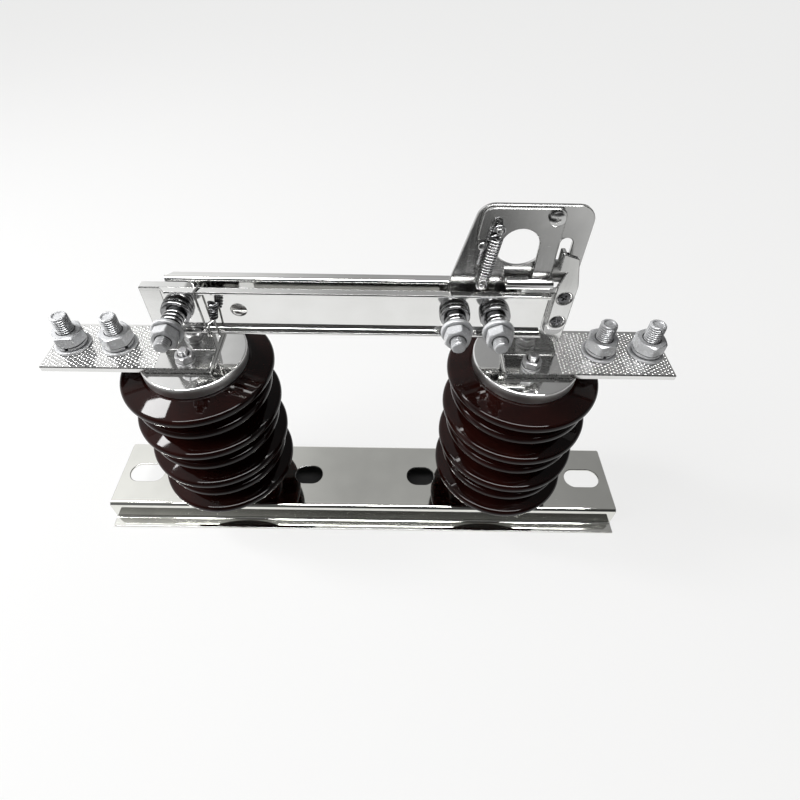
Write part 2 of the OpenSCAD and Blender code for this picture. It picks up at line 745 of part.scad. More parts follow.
// Tube along X, flatted at the back where it is brazed to the lever's leg
module latch_tube() {
    color("silver") difference() {
        translate([tube_x1 - tube_l, tube_y, tube_z]) rotate([0, 90, 0])
            ring_z(tube_d / 2, tube_d / 2 - tube_wall, tube_l);
        translate([tube_x1 - tube_l - cut, lever_y0, tube_z - tube_d])
            cube([tube_l + 2 * cut, tube_d, 2 * tube_d]);
    }
}

// Shouldered screw: shank through the lever and the pull plate, head in front
module lever_pivot() {
    head_r = 0.96 * pivot_d;
    head_h = 2.6;
    color("silver") translate([pivot[0], 0, pivot[1]]) {
        rod_y(pivot_d / 2, lever_y0 - lever_gap, web_in + 1.5);
        rod_y(head_r, lever_y0 - lever_gap - head_h, lever_y0 - lever_gap);
    }
}

// Pin under the lever's ear that stops it
module lever_stop() {
    color("silver") translate([stop_pin[0], 0, stop_pin[1]]) rod_y(stop_r, lever_y0 - 1.5, web_in);
}

module spring_anchor() {
    color("silver") translate([anchor[0], 0, anchor[1]]) rod_y(spring_pin_r, spring_pin_end, web_in);
}

module spring_post() {
    color("silver") translate([post[0], 0, post[1]]) rod_y(spring_pin_r, spring_pin_end, lever_y1);
}

// Tension spring from the anchor to the post, an open eye at each end
module latch_spring() {
    wire_r = pull_wire_d / 2;
    span = norm(post - anchor);
    lean = atan2(post[0] - anchor[0], post[1] - anchor[1]);
    stem = eye_ring_r + 2;
    eye_turn = 285;
    low_eye = [for (a = [eye_turn:-15:0]) eye_ring_r * [sin(a), 0, cos(a)]];
    top_eye = [for (a = [0:15:eye_turn]) [0, 0, span] + eye_ring_r * [sin(a), 0, -cos(a)]];
    turns = helix(pull_spring_d / 2 - wire_r, pull_spring_turns, stem, span - stem, 12);
    color("silver") translate([anchor[0], spring_y_mid, anchor[1]]) rotate([0, lean, 0])
        wire(concat(low_eye, turns, top_eye), wire_r, 6);
}

base_channel();
insulator_left();
insulator_right();
cap_left();
cap_right();
post_bolt_left();
post_bolt_right();
hinge_contact();
jaw_contact();
cap_studs_left();
cap_studs_right();
cap_nuts_left();
cap_nuts_right();
terminal_studs_left();
terminal_studs_right();
terminal_nuts_left();
terminal_nuts_right();
terminal_washers_left();
terminal_washers_right();
catch_strap();
catch_spacer();
catch_screws();
front_blade();
rear_blade();
hinge_bolt();
hinge_washers();
hinge_spring();
hinge_collar();
hinge_nut();
clamp_bolts();
clamp_washers();
clamp_springs();
clamp_collars();
clamp_nuts();
blade_spacers();
pull_plate();
lever_pivot();
lever_stop();
spring_anchor();
latch_spring();
latch_lever();
latch_tube();
spring_post();
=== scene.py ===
"""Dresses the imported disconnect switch: fine shapes for the insulators, fasteners and springs,
eased edges on the sheet parts, metal and glaze materials, and a white studio with the
photograph's camera."""
import math

import bmesh
import bpy
from mathutils import Matrix, Vector


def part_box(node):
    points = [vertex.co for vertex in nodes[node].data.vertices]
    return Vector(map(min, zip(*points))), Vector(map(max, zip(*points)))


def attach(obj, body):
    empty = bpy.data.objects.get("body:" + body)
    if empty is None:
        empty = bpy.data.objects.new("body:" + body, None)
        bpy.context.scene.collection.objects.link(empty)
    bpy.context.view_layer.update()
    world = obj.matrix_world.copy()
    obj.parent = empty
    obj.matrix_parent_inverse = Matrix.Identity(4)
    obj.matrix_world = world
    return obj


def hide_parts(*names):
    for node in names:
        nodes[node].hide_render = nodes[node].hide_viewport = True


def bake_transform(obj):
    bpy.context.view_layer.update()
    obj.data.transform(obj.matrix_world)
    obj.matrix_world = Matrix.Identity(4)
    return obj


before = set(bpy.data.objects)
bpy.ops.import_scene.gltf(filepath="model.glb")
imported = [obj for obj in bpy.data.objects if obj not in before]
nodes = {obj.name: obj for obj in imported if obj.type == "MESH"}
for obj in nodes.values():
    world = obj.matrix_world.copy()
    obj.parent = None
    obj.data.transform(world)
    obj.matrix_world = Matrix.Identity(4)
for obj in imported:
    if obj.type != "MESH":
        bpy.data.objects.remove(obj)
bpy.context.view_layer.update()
scene = bpy.context.scene
MM = 0.001
LEFT, RIGHT = -1, 1
SIDES = {"left": LEFT, "right": RIGHT}


# Shapes: lists of points (mm) and faces

def moved(shape, x=0.0, y=0.0, z=0.0):
    points, faces = shape
    return [(p[0] + x, p[1] + y, p[2] + z) for p in points], faces


def to_front(shape):
    """Turns a shape made along +Z so that it points to the front, along -Y."""
    points, faces = shape
    return [(p[0], -p[2], p[1]) for p in points], faces


def to_right(shape):
    """Turns a shape made along +Z so that it points along +X."""
    points, faces = shape
    return [(p[2], p[0], p[1]) for p in points], faces


def spun(shape, degrees):
    """Turns a shape about Z."""
    c, s = math.cos(math.radians(degrees)), math.sin(math.radians(degrees))
    points, faces = shape
    return [(c * x - s * y, s * x + c * y, z) for x, y, z in points], faces


def joined(*shapes):
    points, faces = [], []
    for p, f in shapes:
        base = len(points)
        points += p
        faces += [tuple(i + base for i in face) for face in f]
    return points, faces


def rows_to_faces(rows, n, closed):
    """Faces between rows of n points each, where a closed shape's last row joins its first."""
    last = rows if closed else rows - 1
    return [(i * n + j, i * n + (j + 1) % n, (i + 1) % rows * n + (j + 1) % n, (i + 1) % rows * n + j)
            for i in range(last) for j in range(n)]


def circle(r, z, n):
    """A row of n points round the Z axis."""
    angles = [2 * math.pi * j / n for j in range(n)]
    return [(r * math.cos(a), r * math.sin(a), z) for a in angles]


def lathe(profile, n=64):
    """A profile of (radius, height) points turned about Z, closed if both its ends are off the axis."""
    closed = profile[0][0] > 0 and profile[-1][0] > 0
    points = [p for r, z in profile for p in circle(r, z, n)]
    return points, rows_to_faces(len(profile), n, closed)


def rounded(corners, n=8):
    """An outline from (x, y, radius) corners, each rounded to its radius."""
    out = []
    for i, (x, y, r) in enumerate(corners):
        q = Vector((x, y))
        if r == 0:
            out.append((x, y))
            continue
        before = (Vector(corners[i - 1][:2]) - q).normalized()
        after = (Vector(corners[(i + 1) % len(corners)][:2]) - q).normalized()
        half = before.angle(after) / 2
        centre = q + (before + after).normalized() * r / math.sin(half)
        start = q + before * r / math.tan(half) - centre
        end = q + after * r / math.tan(half) - centre
        a = math.atan2(start.y, start.x)
        turn = (math.atan2(end.y, end.x) - a + 3 * math.pi) % (2 * math.pi) - math.pi
        out += [(centre.x + r * math.cos(a + turn * k / n), centre.y + r * math.sin(a + turn * k / n))
                for k in range(n + 1)]
    return out


# A direction that no wire runs along
SKEW = Vector((0.31, 0.42, 0.85))


def swept(path, r, sides=12):
    """A round wire along a list of points, with flat ends."""
    across = SKEW
    points = []
    for i, p in enumerate(path):
        along = (path[min(i + 1, len(path) - 1)] - path[max(i - 1, 0)]).normalized()
        across = (across - across.dot(along) * along).normalized()
        other = along.cross(across)
        for j in range(sides):
            a = 2 * math.pi * j / sides
            points.append(tuple(p + r * (math.cos(a) * across + math.sin(a) * other)))
    last = (len(path) - 1) * sides
    ends = [tuple(range(sides)), tuple(last + j for j in range(sides))]
    return points, rows_to_faces(len(path), sides, False) + ends


RING_EDGE_STEPS = 3
ROD_EDGE_STEPS = 4


def ring(r, hole_r, z0, z1, edge=0.3, n=64):
    """A washer, collar or tube with eased edges."""
    corners = [(hole_r, z0, edge), (r, z0, edge), (r, z1, edge), (hole_r, z1, edge)]
    return lathe(rounded(corners, RING_EDGE_STEPS), n)


def rod(r, z0, z1, edge=0.3, n=48):
    corners = [(0, z0, 0), (r, z0, edge), (r, z1, edge), (0, z1, 0)]
    return lathe(rounded(corners, ROD_EDGE_STEPS), n)


# Hexagons: radius of the turned end face to the width across flats, a worn corner to a sharp one,
# the countersink of a hole (mm) and the slope of the turned ends
HEX_FACE = 0.475
HEX_WEAR = 0.975
HEX_LEAD = 0.8
HEX_SLOPE = math.tan(math.pi / 6)


def corner_radius(flats):
    return flats / 2 / math.cos(math.pi / 6)


def hexagon(flats, h, hole_r=0.0, n=96):
    """A nut or bolt head: worn corners, both ends turned down, and a countersunk hole if it has one."""
    face_r = HEX_FACE * flats
    lead_r = hole_r + HEX_LEAD
    columns = []
    for a in (2 * math.pi * j / n for j in range(n)):
        side = min(flats / 2 / math.cos(a % (math.pi / 3) - math.pi / 6), HEX_WEAR * corner_radius(flats))
        drop = (side - face_r) * HEX_SLOPE
        column = [(face_r, 0), (side, drop), (side, h - drop), (face_r, h)]
        if hole_r:
            column = [(lead_r, 0)] + column + [(lead_r, h), (hole_r, h - HEX_LEAD), (hole_r, HEX_LEAD)]
        else:
            column = [(0, 0)] + column + [(0, h)]
        columns.append([(r * math.cos(a), r * math.sin(a), z) for r, z in column])
    rows = len(columns[0])
    points = [columns[j][i] for i in range(rows) for j in range(n)]
    return points, rows_to_faces(rows, n, bool(hole_r))


# Threads: depth to pitch, slope of the flanks, flat at the root, and how far inside the rim of the
# tip its end face and its dish begin (mm)
THREAD_DEPTH = 0.55
THREAD_FLANK = 1.5
THREAD_ROOT = 0.2
TIP_FACE = 0.5
TIP_DISH = 1.1


def threaded(r, z0, z1, pitch, tip=1.0, dish=0.0, n=48, per_turn=8):
    """A rod with a helical thread and a turned-down tip at z1, dished if asked."""
    depth = THREAD_DEPTH * pitch
    rows = round((z1 - z0) / pitch * per_turn)
    points = [(0, 0, z0)] * n
    for i in range(rows + 1):
        z = z0 + (z1 - z0) * i / rows
        limit = r - tip + math.sqrt(max(0, z1 - z) / tip) * tip if z1 - z < tip else r
        for j in range(n):
            rise = 1 - abs(2 * ((z / pitch - j / n) % 1) - 1)
            height = min(max(THREAD_FLANK * rise - THREAD_ROOT, 0), 1)
            size = min(r - depth * (1 - height), limit)
            a = 2 * math.pi * j / n
            points.append((size * math.cos(a), size * math.sin(a), z))
    points += circle(r - tip - TIP_FACE, z1, n)
    points += circle(r - tip - TIP_DISH, z1 - dish, n)
    points += [(0, 0, z1 - dish)] * n
    return points, rows_to_faces(len(points) // n, n, False)


RECESS_WALL = 0.22


def recessed_head(r, h, bulge, arm, width, depth, n=96, rings=26):
    """A screw head from z = 0 to h with a domed top and a cross recess in it."""
    points = [(0, 0, 0)] * n + circle(r, 0, n)
    for i in range(rings, -1, -1):
        size = r * i / rings
        for x, y, _ in circle(size, 0, n):
            one = min((width - abs(x)) / RECESS_WALL, (arm - abs(y)) / RECESS_WALL, 1)
            two = min((width - abs(y)) / RECESS_WALL, (arm - abs(x)) / RECESS_WALL, 1)
            points.append((x, y, h - bulge * (size / r) ** 2 - depth * max(one, two, 0)))
    return points, rows_to_faces(len(points) // n, n, False)


# Pieces

# Angles (degrees) above which an edge is shaded sharp, by kind of piece
SMOOTH_ANGLE = 32
HEX_ANGLE = 22
DOT_ANGLE = 60
SHEET_ANGLE = 40
# Angles (degrees) above which a sheet's edge is cut, and below which its faces are joined
CUT_ANGLE = 35
FLAT_ANGLE = 0.5
# Distances (m) within which points are one, in new shapes and in the CAD solids
SAME_POINT = 1e-7
CAD_POINT = 2e-6
# Large faces set the normals at their corners
FULL_WEIGHT = 100


def smooth_mesh(mesh, angle):
    mesh.shade_smooth()
    mesh.set_sharp_from_angle(angle=math.radians(angle))


def piece(name, shape, body, finish, stands_for=(), angle=SMOOTH_ANGLE):
    """Makes a piece from a shape in mm that rides on a body and may stand for CAD nodes."""
    material, slot = finish
    mesh = bpy.data.meshes.new(name)
    mesh.from_pydata([tuple(c * MM for c in p) for p in shape[0]], [], shape[1])
    clean = bmesh.new()
    clean.from_mesh(mesh)
    bmesh.ops.remove_doubles(clean, verts=clean.verts, dist=SAME_POINT)
    bmesh.ops.dissolve_degenerate(clean, edges=clean.edges, dist=SAME_POINT)
    bmesh.ops.recalc_face_normals(clean, faces=clean.faces)
    clean.to_mesh(mesh)
    clean.free()
    smooth_mesh(mesh, angle)
    made = bpy.data.objects.new(name, mesh)
    scene.collection.objects.link(made)
    mesh.materials.append(material)
    if stands_for:
        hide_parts(*stands_for)
    if body:
        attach(made, body)
    return made


def cut_edges(node, edge):
    """A node's mesh with its sharp edges cut off by so many mm. The cuts take the second material."""
    solid = bmesh.new()
    solid.from_mesh(nodes[node].data)
    bmesh.ops.remove_doubles(solid, verts=solid.verts, dist=CAD_POINT)
    bmesh.ops.dissolve_limit(solid, angle_limit=math.radians(FLAT_ANGLE), verts=solid.verts,
                             edges=solid.edges)
    sharp = [e for e in solid.edges
             if len(e.link_faces) == 2 and e.calc_face_angle() > math.radians(CUT_ANGLE)]
    bmesh.ops.bevel(solid, geom=sharp, offset=edge * MM, offset_type="OFFSET", segments=1, profile=0.5,
                    affect="EDGES", clamp_overlap=False, material=1)
    mesh = bpy.data.meshes.new(node + "_eased")
    solid.to_mesh(mesh)
    solid.free()
    return mesh


def eased(node, body, finish, edge):
    """A copy of a CAD node with its edges cut, in darker metal that paints shade along them, which stands
    for the node.
    """
    material, slot = finish
    mesh = cut_edges(node, edge)
    smooth_mesh(mesh, SHEET_ANGLE)
    made = bpy.data.objects.new(node + "_eased", mesh)
    scene.collection.objects.link(made)
    mesh.materials.append(material)
    mesh.materials.append(edge_shade_steel)
    weighted = made.modifiers.new("flat faces stay flat", "WEIGHTED_NORMAL")
    weighted.weight = FULL_WEIGHT
    weighted.keep_sharp = True
    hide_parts(node)
    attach(made, body)
    return made


def span(node, axis):
    """Lowest and highest value of a node on one axis, in mm."""
    low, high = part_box(node)
    return low[axis] / MM, high[axis] / MM


def middle(node, axis):
    return sum(span(node, axis)) / 2


def half_span(node, axis):
    low, high = span(node, axis)
    return (high - low) / 2


def front_span(node):
    """Where a node starts and ends along the front axis, in mm."""
    low, high = span(node, 1)
    return -high, -low


# Materials

class Graph:
    """A shader tree, and short ways to add to it. An input is a value or another node's output."""

    def __init__(self, tree):
        self.tree = tree

    def fill(self, socket, value):
        if isinstance(value, bpy.types.NodeSocket):
            self.tree.links.new(value, socket)
        else:
            socket.default_value = value

    def node(self, kind, settings=None, **inputs):
        made = self.tree.nodes.new("ShaderNode" + kind)
        for key, value in (settings or {}).items():
            setattr(made, key, value)
        for key, value in inputs.items():
            self.fill(made.inputs[key.replace("_", " ")], value)
        return made

    def calc(self, operation, *values):
        made = self.node("Math", {"operation": operation})
        for socket, value in zip(made.inputs, values):
            self.fill(socket, value)
        return made.outputs["Value"]

    def ranged(self, value, low, high, to_low, to_high, easing="LINEAR"):
        made = self.node("MapRange", {"interpolation_type": easing}, Value=value, From_Min=low,
                         From_Max=high, To_Min=to_low, To_Max=to_high)
        return made.outputs["Result"]

    def mix(self, share, first, second):
        made = self.node("MixShader", Fac=share)
        self.fill(made.inputs[1], first)
        self.fill(made.inputs[2], second)
        return made.outputs["Shader"]


# Nearly all values of a noise lie between these
NOISE_LOW, NOISE_HIGH = 0.3, 0.7
# Painted crevice shade: how open a spot is, from sheltered to free, and the share of its colour that it
# keeps
SHELTER = (0.3, 0.85)
PAINTED_SHADE_SHARE = (0.15, 1.0)
SHELTER_SAMPLES = 8


class Look(Graph):
    """A material with a Principled shader, and short ways to add textures to it."""

    def __init__(self, name):
        self.material = bpy.data.materials.new(name)
        self.material.use_nodes = True
        super().__init__(self.material.node_tree)
        self.shader = self.tree.nodes["Principled BSDF"]
        self.coords = self.node("TexCoord").outputs["Object"]

    def set(self, **inputs):
        for key, value in inputs.items():
            self.fill(self.shader.inputs[key.replace("_", " ")], value)

    def surface(self, shader):
        self.fill(self.tree.nodes["Material Output"].inputs["Surface"], shader)

    def noise(self, scale, stretch=(1, 1, 1), turn=0.0, detail=4.0):
        """Noise of so many features a metre, stretched along the axes and turned about Z."""
        about_z = (0, 0, math.radians(turn))
        place = self.node("Mapping", Vector=self.coords, Rotation=about_z, Scale=stretch)
        made = self.node("TexNoise", Vector=place.outputs["Vector"], Scale=scale, Detail=detail,
                         Roughness=0.6)
        return made.outputs["Fac"]

    def uneven(self, noise, low, high):
        """A noise's values spread from low to high."""
        return self.ranged(noise, NOISE_LOW, NOISE_HIGH, low, high)

    def colours(self, value, low, dark, high, light):
        ramp = self.node("ValToRGB", Fac=value)
        for stop, place, colour in zip(ramp.color_ramp.elements, (low, high), (dark, light)):
            stop.position = place
            stop.color = (*colour, 1)
        return ramp.outputs["Color"]

    def painted_crevice_shade(self, colour, reach):
        """Paints shade into a colour where other faces lie within reach (mm): painted shade in threads
        and crevices.
        """
        shelter = self.node("AmbientOcclusion", {"samples": SHELTER_SAMPLES}, Distance=reach * MM)
        share = self.ranged(shelter.outputs["AO"], *SHELTER, *PAINTED_SHADE_SHARE)
        made = self.node("VectorMath", {"operation": "SCALE"}, Vector=colour, Scale=share)
        return made.outputs["Vector"]

    def bump(self, height, distance, under=None):
        made = self.node("Bump", Height=height, Distance=distance, Strength=1.0)
        if under:
            self.fill(made.inputs["Normal"], under)
        return made.outputs["Normal"]


# Slow waves in sheet metal, and hairline scratches: long thin noise in three directions (degrees)
WAVE_SCALE = 9
HAIR_SCALE = 90
HAIR_STRETCH = (1, 45, 45)
HAIR_TURNS = (17, 71, 128)
HAIR_EDGE = (0.70, 0.74)


def metal(name, dark, light, rough, patch=30, grain=(1, 1, 1), grain_scale=900, grain_depth=1e-6,
          wave=0.0, scratch=0.0, metallic=1.0, painted_shade_reach=0.0):
    """Bare or plated metal: colour in patches, a directed grain, and if asked slow waves, hairline
    scratches and painted crevice shade, which reaches so many mm out of a crevice."""
    look = Look(name)
    colour = look.colours(look.noise(patch, detail=2), NOISE_LOW, dark, NOISE_HIGH, light)
    look.set(Metallic=metallic, Base_Color=look.painted_crevice_shade(colour, painted_shade_reach) if painted_shade_reach else colour)
    lines = look.noise(grain_scale, grain, detail=1.5)
    gloss = look.uneven(lines, *rough)
    normal = look.bump(lines, grain_depth)
    if wave:
        normal = look.bump(look.noise(WAVE_SCALE, detail=1), wave, normal)
    for turn in (HAIR_TURNS if scratch else ()):
        hair = look.noise(HAIR_SCALE, HAIR_STRETCH, turn, detail=2)
        gloss = look.calc("ADD", gloss, look.ranged(hair, *HAIR_EDGE, 0.0, scratch))
    look.set(Roughness=gloss, Normal=normal)
    return look.material


TURNED_PATCH = 40
RINGS_SCALE = 1500
RINGS_DEPTH = 4e-7
WALL_BLEND = 0.3


def turned_metal(name, dark, light, rough, wall_r, wall_rough):
    """Steel turned on a lathe: rings round its own Z axis, and a duller wall from wall_r (mm) on."""
    look = Look(name)
    flat = look.node("VectorMath", {"operation": "MULTIPLY"}, Vector=look.coords)
    flat.inputs[1].default_value = (1, 1, 0)
    length = look.node("VectorMath", {"operation": "LENGTH"}, Vector=flat.outputs["Vector"])
    radius = length.outputs["Value"]
    rings = look.node("TexNoise", {"noise_dimensions": "1D"}, W=radius, Scale=RINGS_SCALE, Detail=3)
    face = look.uneven(rings.outputs["Fac"], *rough)
    wall = look.ranged(radius, (wall_r - WALL_BLEND) * MM, wall_r * MM, 0.0, wall_rough)
    colour = look.colours(look.noise(TURNED_PATCH), NOISE_LOW, dark, NOISE_HIGH, light)
    look.set(Metallic=1.0, Base_Color=colour, Roughness=look.calc("ADD", face, wall),
             Normal=look.bump(rings.outputs["Fac"], RINGS_DEPTH))
    return look.material


CLOUD_SCALE = 35
CLOUD_LOW = 0.35
FLECK_SCALE = 120
GLAZE_ROUGH = (0.03, 0.06)
RIPPLE_SCALE = 160
RIPPLE_DEPTH = 6e-6


def glaze(name, dark, light):
    """Dark salt glaze: a glassy brown surface, a little uneven."""
    look = Look(name)
    colour = look.colours(look.noise(CLOUD_SCALE, detail=6), CLOUD_LOW, dark, NOISE_HIGH, light)
    gloss = look.uneven(look.noise(FLECK_SCALE), *GLAZE_ROUGH)
    ripples = look.bump(look.noise(RIPPLE_SCALE, detail=1), RIPPLE_DEPTH)
    look.set(Base_Color=colour, IOR=1.5, Specular_IOR_Level=0.16, Roughness=gloss, Normal=ripples)
    return look.material


# Finishes: a material, and the slot in the record that it belongs to

ALONG = (0.02, 1, 1)
UPRIGHT = (1, 1, 0.05)
ROLLED = {"grain": ALONG, "grain_depth": 5e-7}
STAMPED = {"grain": UPRIGHT, "grain_scale": 700, "wave": 3e-5, "scratch": 0.1}
PLATED = {"patch": 120, "grain_depth": 2e-7}
DRAWN = {"patch": 200, "grain_depth": 2e-7}

base_steel = metal("base_steel", (0.74, 0.74, 0.70), (0.82, 0.82, 0.775), (0.03, 0.06), wave=3e-5,
                   scratch=0.2, **ROLLED), "base_steel"
blade_steel = metal("blade_steel", (0.76, 0.76, 0.745), (0.82, 0.82, 0.81), (0.04, 0.08), wave=5e-5,
                    scratch=0.12, **ROLLED), "blade_steel"
contact_copper = metal("contact_copper", (0.70, 0.70, 0.69), (0.79, 0.79, 0.78), (0.10, 0.16),
                       grain=ALONG, grain_scale=700, wave=3e-5, scratch=0.2), "contact_copper"
# Painted light: the strap's steel below is a lighter copy of latch_steel, in the same slot
latch_steel = metal("latch_steel", (0.48, 0.48, 0.475), (0.58, 0.58, 0.575), (0.15, 0.21),
                    **STAMPED), "latch_steel"
lit_latch_steel = metal("lit_latch_steel", (0.72, 0.72, 0.71), (0.80, 0.80, 0.79), (0.12, 0.18),
                    **STAMPED), "latch_steel"
# The reach in mm given below to zinc, cup, screw, spring and wire steel paints shade into crevices and
# threads
zinc_steel = metal("zinc_steel", (0.55, 0.555, 0.565), (0.64, 0.647, 0.66), (0.22, 0.29), metallic=0.15,
                   painted_shade_reach=2.5, **PLATED), "zinc_steel"
# Painted shade: a darker copy of zinc_steel, in the same slot, for the washers and cups on the cross
# bolts
shaded_zinc_steel = metal("shaded_zinc_steel", (0.26, 0.26, 0.265), (0.38, 0.38, 0.385), (0.14, 0.22), painted_shade_reach=2.5,
                  **PLATED), "zinc_steel"
screw_steel = metal("screw_steel", (0.46, 0.46, 0.465), (0.58, 0.58, 0.585), (0.20, 0.28), metallic=0.45,
                    painted_shade_reach=2.0, **PLATED), "screw_steel"
# Near-black steel: on the catch screws, head and ring alike, it paints the shade of the strap's
# countersinks
near_black_steel = metal("near_black_steel", (0.08, 0.08, 0.085), (0.16, 0.16, 0.165), (0.16, 0.24),
                    **PLATED), "screw_steel"
spring_steel = metal("spring_steel", (0.30, 0.30, 0.305), (0.44, 0.44, 0.445), (0.14, 0.22), painted_shade_reach=3.5,
                     **DRAWN), "spring_steel"
wire_steel = metal("wire_steel", (0.28, 0.28, 0.275), (0.44, 0.44, 0.43), (0.16, 0.24), painted_shade_reach=2.5,
                   **DRAWN), "spring_steel"
# The knot is the same wire as the strands, in the near-black steel
knot_steel = near_black_steel[0], "spring_steel"
cap_steel = turned_metal("cap_steel", (0.70, 0.70, 0.69), (0.78, 0.78, 0.77), (0.05, 0.10), wall_r=32.6,
                         wall_rough=0.26), "cap_steel"
porcelain = glaze("porcelain", (0.008, 0.0020, 0.0015), (0.018, 0.0038, 0.0028)), "porcelain"

# Painted shade: a dark steel on the cut edges of sheets draws dark lines along them
edge_shade_steel = metal("edge_shade_steel", (0.22, 0.22, 0.215), (0.34, 0.34, 0.335), (0.22, 0.32), patch=200,
                      grain_depth=3e-7)


# Base, contacts, blades, latch sheets and the bolts below: the CAD solids with cut edges (mm)

eased("base_channel", "frame", base_steel, edge=0.45)
eased("hinge_contact", "frame", contact_copper, edge=0.6)
eased("jaw_contact", "frame", contact_copper, edge=0.6)
eased("catch_strap", "frame", lit_latch_steel, edge=0.5)
eased("catch_spacer", "frame", latch_steel, edge=0.3)
eased("front_blade", "blade", blade_steel, edge=0.3)
eased("rear_blade", "blade", blade_steel, edge=0.3)
eased("pull_plate", "blade", latch_steel, edge=0.4)
eased("latch_lever", "lever", latch_steel, edge=0.5)
eased("post_bolt_left", "frame", zinc_steel, edge=0.3)
eased("post_bolt_right", "frame", zinc_steel, edge=0.3)


# Insulators with their caps

SHED_COUNT = 4
SHED_PITCH = 34.0
FIRST_RIM = 27.0
TRUNK_R = 31.0
SMALL_SHED_R = 44.3
RIM = 3.0
RIM_EDGE_R = 2.82
SHED_RISE = 4.6
SKIRT_RISE = 2.0
SHED_FILLET_R = 2.4
CAP_SEAT_W = 1.5
FOOT_EDGE_R = 1.0
CAP_FOOT_EDGE_R = 0.6
CAP_EDGE_R = 1.1
SHED_EDGE_STEPS = 10
CAP_EDGE_STEPS = 6
TURNED_SIDES = 192


def shed(r, z):
    """Corners of one shed: its underside, its rim and its upper slope."""
    return [(TRUNK_R, z - RIM + SKIRT_RISE, SHED_FILLET_R), (r, z - RIM, RIM_EDGE_R),
            (r, z + RIM, RIM_EDGE_R), (TRUNK_R, z + RIM + SHED_RISE, SHED_FILLET_R)]


def insulator(side):
    """Glazed post: large sheds with a small one between each two, and a seat for the cap."""
    node = "insulator_" + side
    low, top = span(node, 2)
    shed_r = half_span(node, 0)
    seat_r = half_span("cap_" + side, 0) + CAP_SEAT_W
    corners = [(0, 0, 0), (TRUNK_R, 0, FOOT_EDGE_R)]
    for i in range(SHED_COUNT - 1):
        rim = FIRST_RIM + i * SHED_PITCH
        corners += shed(shed_r, rim) + shed(SMALL_SHED_R, rim + SHED_PITCH / 2)
    corners += shed(shed_r, FIRST_RIM + (SHED_COUNT - 1) * SHED_PITCH)[:3]
    corners += [(seat_r, top - low, FOOT_EDGE_R), (0, top - low, 0)]
    post = lathe(rounded(corners, SHED_EDGE_STEPS), TURNED_SIDES)
    piece(node + "_glaze", moved(post, middle(node, 0), 0, low), "frame", porcelain, [node])


def cap(side):
    """Turned steel cap, made about its own axis so that its lathe rings follow it."""
    node = "cap_" + side
    low, top = span(node, 2)
    r = half_span(node, 0)
    corners = [(0, 0, 0), (r, 0, CAP_FOOT_EDGE_R), (r, top - low, CAP_EDGE_R), (0, top - low, 0)]
    turned = lathe(rounded(corners, CAP_EDGE_STEPS), TURNED_SIDES)
    made = piece(node + "_turned", turned, None, cap_steel, [node])
    made.location = (middle(node, 0) * MM, 0, low * MM)
    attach(made, "frame")


for side in SIDES:
    insulator(side)
    cap(side)


# Fasteners on the plates

# A stud's shank is thinner than its thread by the relief, and reaches into its head by the overlap
SHANK_RELIEF = 0.5
HEAD_OVERLAP = 1.0
SHANK_EDGE = 0.1
WASHER_EDGE = 0.35

CAP_STUD_R = 3.0
CAP_STUD_EDGE = 0.2
CAP_STUD_TIP = 0.8
CAP_FLATS = 10.0
CAP_NUT_TURN = 20
CAP_WASHER_R = 6.0
CAP_WASHER_T = 1.6
CAP_WASHER_EDGE = 0.25
CAP_PITCH = 1.0


def cap_fasteners(side):
    """Two small studs with washers and nuts, before and behind the fin."""
    studs, nuts = "cap_studs_" + side, "cap_nuts_" + side
    x = middle(studs, 0)
    low, top = span(nuts, 2)
    foot, tip = span(studs, 2)
    nut_low = low + CAP_WASHER_T
    stud_y = span(studs, 1)[1] - CAP_STUD_R
    shank = rod(CAP_STUD_R - SHANK_RELIEF, foot, low, CAP_STUD_EDGE)
    stud = joined(shank, threaded(CAP_STUD_R, low, tip, CAP_PITCH, CAP_STUD_TIP))
    washer = ring(CAP_WASHER_R, CAP_STUD_R, low, nut_low, CAP_WASHER_EDGE)
    nut = moved(hexagon(CAP_FLATS, top - low - CAP_WASHER_T, CAP_STUD_R), 0, 0, nut_low)
    stud_parts, nut_parts = [], []
    for sign in (LEFT, RIGHT):
        stud_parts.append(moved(stud, x, sign * stud_y))
        nut_parts.append(moved(joined(washer, spun(nut, CAP_NUT_TURN * sign)), x, sign * stud_y))
    piece(studs + "_fine", joined(*stud_parts), "frame", screw_steel, [studs])
    piece(nuts + "_fine", joined(*nut_parts), "frame", screw_steel, [nuts], HEX_ANGLE)


STUD_R = 5.0
STUD_FLATS = 17.0
STUD_HEAD_T = 6.4
STUD_PITCH = 1.5
STUD_TIP = 1.1
STUD_DISH = 0.7
STUD_NUT_TURNS = (8, 24)
STUD_NUT_GRIP = 0.2
FLAT_WASHER_T = 2.0
FLAT_WASHER_R = 10.5
LOCK_WASHER_R = 8.8
LOCK_PLAY = 0.1
LOCK_EDGE = 0.2
LOCK_EDGE_STEPS = 2
LOCK_LIFT = 0.5
LOCK_SPLIT = 14.0
LOCK_TURNS = (-86, -38)
LOCK_STEPS = 72


def lock_washer(r, hole_r, z0, z1):
    """A split spring washer, sprung open a little at its cut."""
    top = z1 - LOCK_LIFT
    corners = [(hole_r, z0, LOCK_EDGE), (r, z0, LOCK_EDGE), (r, top, LOCK_EDGE), (hole_r, top, LOCK_EDGE)]
    section = rounded(corners, LOCK_EDGE_STEPS)
    n = len(section)
    points = []
    for k in range(LOCK_STEPS + 1):
        t = k / LOCK_STEPS
        a = math.radians(LOCK_SPLIT / 2 + (360 - LOCK_SPLIT) * t)
        points += [(q * math.cos(a), q * math.sin(a), z + LOCK_LIFT * t) for q, z in section]
    ends = [tuple(range(n)), tuple(LOCK_STEPS * n + j for j in range(n))]
    return points, rows_to_faces(LOCK_STEPS + 1, n, False) + ends


